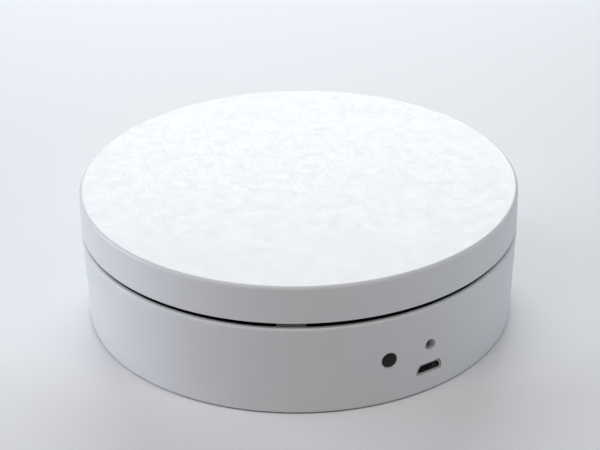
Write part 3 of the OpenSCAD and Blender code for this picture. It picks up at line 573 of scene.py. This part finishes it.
def white_platter():
    """The platter with its skirt, track ring, ribs, gussets and hub bosses."""
    disc_r = 2
    edge, hem, root, tip = 1.0, 0.35, 0.3, 0.2
    profile = rounded([
        (disc_r, TOTAL_H, 0), (PLATTER_R, TOTAL_H, edge), (PLATTER_R, SKIRT_Z, hem),
        (SKIRT_IN, SKIRT_Z, hem), (SKIRT_IN, PLATE_Z, root), (TRACK_OUT, PLATE_Z, root),
        (TRACK_OUT, TRACK_Z, tip), (TRACK_IN, TRACK_Z, tip), (TRACK_IN, PLATE_Z, root),
        (RIB_OUT, PLATE_Z, root), (RIB_OUT, RIB_Z, tip), (RIB_IN, RIB_Z, tip),
        (RIB_IN, PLATE_Z, root), (disc_r, PLATE_Z, 0)])
    body = turned("white_platter", profile, FINE_TURN)
    top = PLATE_Z + ROOT
    extras = []
    for k in range(RIB_COUNT):
        angle = 360 / RIB_COUNT * (k + 0.5)
        extras.append(rib(angle, RIB_OUT - BITE, TRACK_IN + BITE, RIB_W, RIB_Z, top))
    for k in range(GUSSET_COUNT):
        angle = 360 / GUSSET_COUNT * k
        extras.append(rib(angle, TRACK_OUT - BITE, SKIRT_IN + BITE, GUSSET_W, GUSSET_Z, top))
    for angle in HUB_ANGLES:
        extras.append(moved(prism("boss", circle(BOSS_R), BOSS_Z, top), around(angle, HUB_SPOT)))
    combine(body, extras, "UNION")
    holes = []
    for angle in HUB_ANGLES:
        hole = prism("hole", circle(HUB_PILOT_R), BOSS_Z - OVER, PLATE_Z + HUB_PILOT_DEPTH)
        holes.append(moved(hole, around(angle, HUB_SPOT)))
    combine(body, holes, "DIFFERENCE")
    return finished(body, "platter", "white_abs", "platter")


def rib(angle, inner, outer, width, low, high):
    """A radial rib with a rounded lower edge."""
    w, soft = width / 2, 0.3
    outline = rounded([(-w, low, soft), (w, low, soft), (w, high, 0), (-w, high, 0)])
    loops = [[(x, p[0], p[1]) for p in outline] for x in (inner, outer)]
    piece = mesh_object("rib", lambda bm: skin(bm, loops))
    return moved(piece, around(angle))


# ---------------------------------------------------------------- the base's wall

def wall_radius(z):
    """Outer radius of the leaning wall at a height."""
    rise = (z - BASE_Z) / (LIP_Z - LIP_R - BASE_Z)
    return WALL_OUT + (PLATTER_R - WALL_OUT) * rise


def usb_outline(grow):
    """The socket's outline, wide side down, about its middle."""
    w = USB_W / 2 + grow
    slope = 0.78
    top = w - slope
    low, high, middle = -USB_H / 2 - grow, USB_H / 2 + grow, 0
    tight, soft = 0.28 + grow / 2, 0.5 + grow / 2
    return rounded([(-w, low, tight), (w, low, tight), (w, middle, soft), (top, high, soft),
                    (-top, high, soft), (-w, middle, soft)], ROUND_STEPS)


def eased(edge, inside=-4.0, outside=1.5):
    """(growth, depth) steps of a hole's rounded edge, from inside the wall to outside it."""
    arc = [(edge * (1 - math.cos(a)), edge * (math.sin(a) - 1)) for a in quarter(ROUND_STEPS)]
    return [(0.0, inside)] + arc + [(edge, outside)]


def hole_cutter(outline_at, azimuth, z, edge=HOLE_EDGE):
    """A cutter for an opening in the wall, whose outline is outline_at(growth), with an eased edge."""
    loops = [[(p[0], p[1], depth) for p in outline_at(growth)] for growth, depth in eased(edge)]
    cutter = mesh_object("cutter", lambda bm: skin(bm, loops))
    return moved(cutter, outward(azimuth, wall_radius(z), z))


def white_wall():
    """The base's wall with its lip, ledge, screw posts and the three openings."""
    foot, inner, step = 0.3, 0.15, 0.1
    outline = rounded([
        (WALL_IN, BASE_Z, inner), (WALL_OUT, BASE_Z, foot), (wall_radius(LIP_Z), LIP_Z, LIP_R),
        (RABBET_R, LIP_Z, step), (RABBET_R, DECK_FLOOR, step), (WALL_IN, DECK_FLOOR, inner)])
    body = lathe("white_wall", outline, FINE_TURN)
    posts, holes = [], []
    w, far, near = WEB_W / 2, -POST_INSET - WEB_BITE, -WEB_NEAR
    for azimuth in POST_AZIMUTHS:
        place = at_azimuth(azimuth, POST_SPOT)
        posts.append(moved(prism("post", circle(POST_R), COVER_TOP, DECK_FLOOR), place))
        web = prism("web", [(-w, far), (w, far), (w, near), (-w, near)], COVER_TOP, WEB_TOP)
        posts.append(moved(web, place))
        for low, high in ((COVER_TOP - OVER, COVER_TOP + POST_PILOT_DEPTH),
                          (DECK_FLOOR - POST_PILOT_DEPTH, DECK_FLOOR + OVER)):
            holes.append(moved(prism("hole", circle(POST_PILOT_R), low, high), place))
    combine(body, posts, "UNION")
    holes += [
        hole_cutter(lambda grow: circle(BUTTON_R + BUTTON_PLAY + grow), BUTTON_AZ, BUTTON_Z),
        hole_cutter(lambda grow: circle(LED_R + LED_PLAY + grow), 0, LED_Z),
        hole_cutter(lambda grow: usb_outline(USB_PLAY + grow), 0, USB_Z + USB_H / 2, USB_EDGE)]
    combine(body, holes, "DIFFERENCE")
    return finished(body, "base", "white_abs", "base_shell")


# ---------------------------------------------------------------- controls

def black_button():
    """The button's cap: a shallow dome with a soft edge, on a rim inside the wall."""
    stem_r, stem_end, tip = 1.2, 55.2, WALL_IN + 3
    rim_r, rim_low, rim_high = 2.9, WALL_IN - 1.0, WALL_IN - 0.25
    dome, edge, rings = 8.0, 0.3, 9
    top_r = BUTTON_R - edge
    sink = dome - math.sqrt(dome ** 2 - top_r ** 2)
    profile = [(stem_r, stem_end), (stem_r, rim_low), (rim_r, rim_low), (rim_r, rim_high),
               (BUTTON_R, rim_high)]
    profile += [(top_r + edge * math.cos(a), tip - sink - edge + edge * math.sin(a))
                for a in quarter(6)]
    for k in range(1, rings):
        r = top_r * (1 - k / rings)
        profile.append((r, tip - dome + math.sqrt(dome ** 2 - r ** 2)))
    cap = moved(turned("button_cap", profile), outward(BUTTON_AZ, 0, BUTTON_Z))
    return finished(cap, "button", "black_abs", "power_button")


def light_lens():
    """The status light: a 3 mm lens with its flange."""
    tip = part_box("status_led")[0].y / -MM
    flange, back, step = LED_R + 0.4, tip - 5.9, tip - 4.9
    profile = [(flange, back), (flange, step), (LED_R, step)]
    profile += [(LED_R * math.cos(a), tip - LED_R + LED_R * math.sin(a)) for a in quarter(17)[:-1]]
    body = moved(turned("light_lens", profile), outward(0, 0, LED_Z))
    return finished(body, "base", "led_lens", "status_led")


def rubber_feet():
    """Four feet, each with an eased edge and a shallow dish in its face."""
    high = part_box("rubber_feet")[1].z / MM
    spot, foot_r, edge = 47, 4.5, 0.2
    dish_r, dish_floor_r, dish = 3.0, 2.8, 0.06
    profile = [(foot_r, high)]
    profile += [(foot_r - edge + edge * math.cos(a), edge - edge * math.sin(a)) for a in quarter(4)]
    profile += [(dish_r, 0.0), (dish_floor_r, dish)]
    feet = [moved(turned("foot", profile), at_azimuth(azimuth, spot)) for azimuth in (0, 90, 180, 270)]
    return finished(joined(feet, "foot_pads"), "base", "feet_rubber", "rubber_feet")


def socket_shell():
    """The stamped shell of the micro-USB socket, its mouth's edge rounded, with its four legs."""
    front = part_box("usb_shell")[0].y / -MM
    length, wall, lip = 5.2, 0.25, 0.09
    depths = [(0, length), (0, lip), (-0.03, 0.02), (-0.1, 0), (-wall + 0.02, 0.05), (-wall, 0.16),
              (-wall, length - wall)]
    loops = [[(p[0], p[1], -depth) for p in usb_outline(grow)] for grow, depth in depths]
    shell = mesh_object("socket_shell", lambda bm: skin(bm, loops))
    moved(shell, outward(0, front, USB_Z + USB_H / 2))
    leg_rows = (2.6, 5.0)
    leg_inset, leg_half, leg_l, leg_h, leg_edge = 0.33, 0.12, 0.8, 2, 0.05
    board_z = USB_Z + USB_H
    legs = []
    for side in (-1, 1):
        x = side * (USB_W / 2 - leg_inset)
        for y in leg_rows:
            low = (x - leg_half, y - front, board_z - leg_h)
            high = (x + leg_half, y + leg_l - front, board_z)
            legs.append(block(low, high, leg_edge))
    combine(shell, legs, "UNION")
    return finished(shell, "base", "plated_steel", "usb_shell")


# ---------------------------------------------------------------- screws

def cross(size, width):
    """Outline of a cross-shaped recess."""
    w = width / 2
    corners = [(size, -w), (size, w), (w, w), (w, size), (-w, size), (-w, w), (-size, w), (-size, -w),
               (-w, -w), (-w, -size), (w, -size), (w, -w)]
    return [Vector(c) for c in corners]


# Head radius, head height, shank radius and length.
SCREWS = {
    "hub_screws": (2, 1.3, 0.95, 6), "deck_screws": (2.5, 1.4, 1.1, 7.5),
    "cover_screws": (2.5, 1.1, 1.1, 7.5), "bracket_screws": (1.9, 1.2, 0.9, 4.6),
    "motor_screws": (3.1, 1.9, 1.47, 5.6), "board_screws": (1.9, 1.2, 0.9, 5.8)}


def screw(head_r, head_h, shank_r, length):
    """A self-tapping screw, head up, its seat at z = 0: cross recess, domed head and a wound thread."""
    sides, per_turn, pitch, depth = 24, 8, 0.8, 0.16
    tip_r, tip_share = 0.35, 0.22
    ease, side_share, crown, bulge = 0.08, 0.4, 0.55, 0.45
    loops = []

    def ring(radius, z):
        loops.append([(radius * p.x, radius * p.y, z) for p in circle(1, sides)])

    count = round(length / pitch * per_turn)
    for k in range(count + 1):
        z = -length + length * k / count
        taper = min(1.0, tip_r + (z + length) / (tip_share * length))
        loop = []
        for i, p in enumerate(circle(1, sides)):
            phase = (z / pitch - i / sides) % 1
            crest = max(0.0, 1 - abs(phase - 0.5) * 4)
            radius = (shank_r - depth + depth * crest) * taper
            loop.append((radius * p.x, radius * p.y, z))
        loops.append(loop)
    side = head_h * side_share
    ring(head_r - ease, 0)
    ring(head_r, ease)
    ring(head_r, side)
    for a in quarter(6)[1:]:
        ring(head_r * (crown + bulge * math.cos(a)), side + (head_h - side) * math.sin(a))
    piece = mesh_object("screw", lambda bm: skin(bm, loops))
    size, width = head_r * 0.55, head_r * 0.24
    floor_scale, floor_z, mouth_z = 0.55, head_h * 0.35, head_h * 0.95
    recess = [[(p[0] * k, p[1] * k, z) for p in cross(size, width)]
              for k, z in ((floor_scale, floor_z), (1.0, mouth_z), (1.0, head_h + OVER))]
    return combine(piece, [mesh_object("recess", lambda bm: skin(bm, recess))], "DIFFERENCE")


def screw_set(node, places, down=False):
    """A set of equal screws that stand for one CAD node."""
    first = screw(*SCREWS[node])
    flip = Matrix.Rotation(math.pi if down else 0, 4, "X")
    copies = [copied(first, place @ flip) for place in places]
    bpy.data.objects.remove(first)
    return finished(joined(copies, node + "_cut"), BODY_OF[node], SLOT_OF[node], node)


def all_screws():
    hub_seat, deck_top, cover_seat = TOTAL_H - 7.4, DECK_FLOOR + DECK_T, BASE_Z + 1.3
    bracket_spot, bracket_seat = 46, 26.2
    ear_spots, ear_seat = ((8, -17.5), (8, 17.5)), DECK_FLOOR - 0.8
    board_spots, board_top = ((-21.8, -41.2), (19.2, -49)), 10.35
    screw_set("hub_screws", [at_azimuth(a + 90, HUB_SPOT, hub_seat) for a in HUB_ANGLES], down=True)
    screw_set("deck_screws", [at_azimuth(a, POST_SPOT, deck_top) for a in POST_AZIMUTHS])
    screw_set("cover_screws", [at_azimuth(a, POST_SPOT, cover_seat) for a in POST_AZIMUTHS], down=True)
    screw_set("bracket_screws", [at_azimuth(a, bracket_spot, bracket_seat) for a in ROLLER_AZIMUTHS])
    screw_set("motor_screws", [Matrix.Translation((x, y, ear_seat)) for x, y in ear_spots], down=True)
    screw_set("board_screws", [Matrix.Translation((x, y, board_top)) for x, y in board_spots])


# ---------------------------------------------------------------- inside

def eased_node(node, width):
    """A CAD node's shape with its sharp edges broken by width, in the node's place."""
    flat, sharp = math.radians(0.5), math.radians(40)
    piece = linked("eased_" + node, frame["nodes"][node].data.copy())

    def weld(bm):
        bmesh.ops.remove_doubles(bm, verts=bm.verts, dist=MERGE)
        bmesh.ops.dissolve_limit(bm, angle_limit=flat, verts=bm.verts, edges=bm.edges)

    edited(piece, weld)
    modifier = piece.modifiers.new("edges", "BEVEL")
    modifier.width = width * MM
    modifier.segments = 2
    modifier.limit_method = "ANGLE"
    modifier.angle_limit = sharp
    applied(piece)
    return finished(piece, BODY_OF[node], SLOT_OF[node], node)


def wire(node, route, radius):
    """A round insulated wire along a smooth curve through the route's points."""
    steps, sides = 6, 12
    points = [Vector(p) for p in route]
    path = []
    for i in range(len(points) - 1):
        a, b, c = points[max(i - 1, 0)], points[i], points[i + 1]
        d = points[min(i + 2, len(points) - 1)]
        for k in range(steps):
            t = k / steps
            path.append(0.5 * (2 * b + (c - a) * t + (2 * a - 5 * b + 4 * c - d) * t * t
                               + (3 * b - a - 3 * c + d) * t ** 3))
    path.append(points[-1])
    loops = []
    for i, p in enumerate(path):
        along = (path[min(i + 1, len(path) - 1)] - path[max(i - 1, 0)]).normalized()
        side = along.cross(Vector((0, 0, 1))).normalized()
        up = side.cross(along)
        loops.append([p + radius * (q.x * side + q.y * up) for q in circle(1, sides)])
    piece = mesh_object("insulated_" + node, lambda bm: skin(bm, loops))
    return finished(piece, "base", SLOT_OF[node], node)


RED_ROUTE = [
    (-32.9, 35, 12.3), (-36, 34.6, 13.5), (-39.6, 34.4, 17), (-43.6, 33.4, 20), (-48, 27.4, 20.8),
    (-51.8, 18.8, 20.8), (-54.8, 5, 20.8), (-54.2, -9.6, 20.8), (-51.8, -18.8, 20.8), (-47.4, -27.3, 21),
    (-43, -32.2, 21.7), (-39.4, -35.7, 21.7), (-35.2, -37.6, 20.8), (-29.6, -36.6, 18), (-22.6, -31, 14.6),
    (-16.6, -29.6, 13.2), (-13.6, -32.6, 13.2), (-13.6, -37.2, 13.2)]
BLACK_ROUTE = [
    (32.9, 35, 12.3), (34.2, 34.8, 12.3), (35.8, 31.6, 11.6), (34, 26.6, 9.4), (29.4, 24.4, 7.4),
    (18, 24.2, 6.6), (0, 24.2, 6.6), (-18, 24.2, 6.6), (-28, 24.4, 7), (-34.6, 26.2, 8.6), (-39.6, 31, 13),
    (-43.8, 32.8, 17.4), (-48, 27.4, 18.9), (-51.8, 18.8, 18.9), (-54.8, 5, 18.9), (-54.2, -9.6, 18.9),
    (-51.8, -18.8, 18.9), (-47.7, -27.5, 18.9), (-42, -33.6, 18.8), (-34, -35.6, 17.4), (-26, -31.8, 13.6),
    (-17, -26.4, 11.6), (-11.8, -29.6, 12.8), (-11.6, -33, 13.2), (-11.6, -37.2, 13.2)]
# The middle one of the motor's five wires, and the step from one wire to the next at each point.
MOTOR_ROUTE = [
    ((25.05, 0, 7), (0, 1.5)), ((26.5, 0, 7), (0, 1.5)), ((28.5, 0, 7), (0, 1.5)),
    ((33, -3.4, 7.4), (1.1, 1.1)), ((34.4, -10, 8.4), (1.5, 0)), ((31, -18, 10), (1.3, -0.8)),
    ((23, -24, 11.8), (0.9, -1.3)), ((14.2, -28, 13), (1.6, -1.1)), ((10.6, -32, 13.2), (2.4, -0.4)),
    ((10.6, -37.2, 13.2), (2.5, 0))]


BATTERY_WIRE_R, MOTOR_WIRE_R = 0.65, 0.6


def all_wires():
    wire("battery_wire_red", RED_ROUTE, BATTERY_WIRE_R)
    wire("battery_wire_black", BLACK_ROUTE, BATTERY_WIRE_R)
    for i, colour in enumerate(("blue", "pink", "yellow", "orange", "red")):
        k = i - 2
        route = [(p[0] + k * step[0], p[1] + k * step[1], p[2]) for p, step in MOTOR_ROUTE]
        wire("motor_wire_" + colour, route, MOTOR_WIRE_R)


def battery():
    """The cell: a steel can whose ends show inside the turned-in edges of its film."""
    low, high = (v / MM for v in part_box("battery_cell"))
    half, radius = (high.x - low.x) / 2, (high.z - low.z) / 2
    place = Matrix.Translation((low + high) / 2) @ Matrix.Rotation(math.pi / 2, 4, "Y")
    film_in = {-1: 6.4, 1: 7.6}
    shoulder_r, inset, gap = 1.1, 0.3, 0.15
    end_step, end_crown, vent_r = 0.08, 0.24, 0.6
    step_w, crown_w = 1.4, 1.7

    def film_end(side):
        """The film at one end, from its turned-in edge to the can's side."""
        rim = film_in[side]
        shoulder = [(radius - shoulder_r + shoulder_r * math.sin(a),
                     side * (half - shoulder_r + shoulder_r * math.cos(a))) for a in quarter(6)]
        return [(rim, side * (half - inset)), (rim, side * half)] + shoulder

    film = turned("cell_film", film_end(-1) + film_end(1)[::-1])
    finished(moved(film, place), "base", "cell_wrap", "battery_cell")
    ends = []
    for side in (-1, 1):
        r = film_in[side] - gap
        z = side * (half - inset)
        profile = [(r, z), (r, z + side * end_step), (r - step_w, z + side * end_step),
                   (r - crown_w, z + side * end_crown), (vent_r, z + side * end_crown)]
        ends.append(turned("end", profile))
    finished(moved(joined(ends, "cell_ends"), place), "base", "nickel", "battery_cell")


# Nodes that keep their CAD shape with their edges broken by this much.
EASED = {
    "bottom_cover": 0.15, "deck": 0.15, "drive_hub": 0.15, "roller_brackets": 0.12, "motor_can": 0.12,
    "motor_cover": 0.1, "motor_lead_cap": 0.3, "motor_header": 0.1, "motor_plug": 0.12,
    "battery_header": 0.1, "battery_plug": 0.12, "chips": 0.08, "chip_capacitors": 0.08,
    "can_capacitor": 0.12, "switch_body": 0.1, "circuit_board": 0.06, "coil_bobbins": 0.06,
    "gear_plate": 0.06, "shaft_bushing": 0.1, "output_shaft": 0.08, "usb_tongue": 0.06}


white_platter()
white_wall()
black_button()
light_lens()
rubber_feet()
socket_shell()
all_screws()
all_wires()
battery()
for eased_name, edge_width in EASED.items():
    eased_node(eased_name, edge_width)


# ---------------------------------------------------------------- camera, lights and floor

# The camera's turn about the stand, its angle above the floor, its distance over the platter's
# radius, and the small turns that put the stand where the photo has it.
VIEW_TURN = math.radians(-34.2)
VIEW_PITCH, VIEW_DISTANCE = 0.5252, 9.4478
AIM_SIDE, AIM_UP, AIM_ROLL = 0.0155, -0.0371, 0.0004
LIT_HEIGHT = 0.02  # the lights face this height, in metres


def seen_from(right, back, up):
    """A place given from the viewer's side, in metres: to the right, away from the viewer, and up."""
    return Matrix.Rotation(VIEW_TURN, 3, "Z") @ Vector((right, back, up))


def add_camera():
    """A long lens that looks down on the stand from the left of its socket."""
    distance = VIEW_DISTANCE * PLATTER_R * MM
    place = Vector((0, -math.cos(VIEW_PITCH), math.sin(VIEW_PITCH))) * distance
    forward = -place.normalized()
    right = Vector((1, 0, 0))
    facing = Matrix((right, right.cross(forward), -forward))
    aim = Matrix.Rotation(AIM_SIDE, 3, "Z") @ Matrix.Rotation(AIM_UP, 3, "X")
    aim = aim @ Matrix.Rotation(AIM_ROLL, 3, "Y")
    data = bpy.data.cameras.new("camera")
    data.sensor_width = 36
    data.lens = 120
    data.clip_start = 0.01
    camera = linked("camera", data)
    turn = Matrix.Rotation(VIEW_TURN, 4, "Z")
    camera.matrix_world = turn @ Matrix.LocRotScale(place, (aim @ facing).transposed(), None)
    bpy.context.scene.camera = camera


def add_light(name, place, size, power, colour):
    """A soft box that faces the stand."""
    data = bpy.data.lights.new(name, "AREA")
    data.shape = "RECTANGLE"
    data.size, data.size_y = size
    data.energy = power
    data.color = colour
    away = place - Vector((0, 0, LIT_HEIGHT))
    linked(name, data).matrix_world = Matrix.LocRotScale(place, away.to_track_quat("Z", "Y"), None)


def add_floor():
    """A large pale sheet, with the faintest unevenness."""
    finish = Finish("floor_paper", 0.6)
    finish.colour(finish.noise(120, 2), (0.9, 0.9, 0.9), 0.006)
    finish.bump(finish.noise(1.5, 3), 0.01)
    half = 3000
    corners = [(-half, -half, 0), (half, -half, 0), (half, half, 0), (-half, half, 0)]
    floor = mesh_object("floor", lambda bm: bm.faces.new([bm.verts.new(c) for c in corners]))
    floor.data.materials.append(finish.material)


def add_world(strength):
    world = bpy.data.worlds.new("studio")
    world.use_nodes = True
    background = world.node_tree.nodes["Background"]
    background.inputs["Color"].default_value = (1, 1, 1, 1)
    background.inputs["Strength"].default_value = strength
    bpy.context.scene.world = world


add_camera()
add_light("over_box", seen_from(0, -0.18, 0.5), (0.6, 0.15), 1.0, (1.0, 0.95, 0.95))
add_light("back_box", seen_from(0, 0.7, 0.35), (0.6, 0.4), 3.7, (0.9, 0.97, 1.0))
add_light("left_box", seen_from(-0.7, 0.1, 0.25), (0.5, 0.4), 2.65, (0.78, 0.85, 1.0))
add_light("right_box", seen_from(0.7, 0.1, 0.25), (0.5, 0.4), 0.9, (0.66, 0.81, 1.0))
add_floor()
add_world(0.1)
bpy.context.scene.view_settings.view_transform = "Standard"
